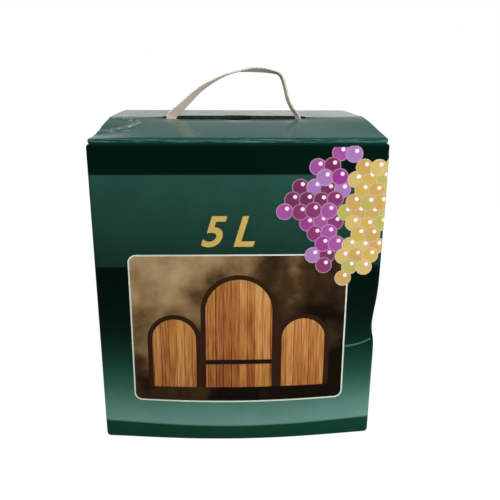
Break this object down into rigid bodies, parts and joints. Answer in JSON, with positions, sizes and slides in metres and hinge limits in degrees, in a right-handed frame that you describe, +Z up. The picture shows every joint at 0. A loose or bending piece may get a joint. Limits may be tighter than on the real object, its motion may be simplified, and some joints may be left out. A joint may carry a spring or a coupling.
{
  "type": "bag in box carton",
  "caption": "Full bag-in-box drinks carton of printed corrugated board with bulged walls, a hinged tuck-in lid, a tape carrying strap, and a film bag with a push tap inside.",
  "frame": {"origin": "centre of the carton's footprint box, on the floor it stands on", "axes": "+X to the right seen from the printed front, +Y to the back, +Z up"},
  "size_m": [0.1928, 0.1828, 0.2451],
  "materials": {
    "printed_board": "semi-gloss varnished print",
    "strap_tape": "woven, matt",
    "anchor_nylon": "moulded, matt",
    "bag_film": "metallised film, glossy",
    "tap_plastic": "moulded, satin",
    "button_plastic": "moulded, satin"
  },
  "bodies": {
    "root": {"carton_body": "printed_board", "wine_bag": "bag_film", "tap_gland": "tap_plastic", "tap_body": "tap_plastic"},
    "lid": {"lid": "printed_board", "handle_strap": "strap_tape", "strap_anchor_left": "anchor_nylon", "strap_anchor_right": "anchor_nylon"},
    "tap_button": {"tap_button": "button_plastic", "tap_stem": "tap_plastic"}
  },
  "joints": [
    {"name": "lid_hinge", "type": "hinge", "parent": "root", "child": "lid", "pos_m": [0, -0.08175, 0.2087], "axis": [1, 0, 0], "range_deg": [0, 175]},
    {"name": "tap_press", "type": "slide", "parent": "root", "child": "tap_button", "axis": [1, 0, 0], "range_m": [0, 0.002], "stiffness_N_per_m": 1500}
  ]
}
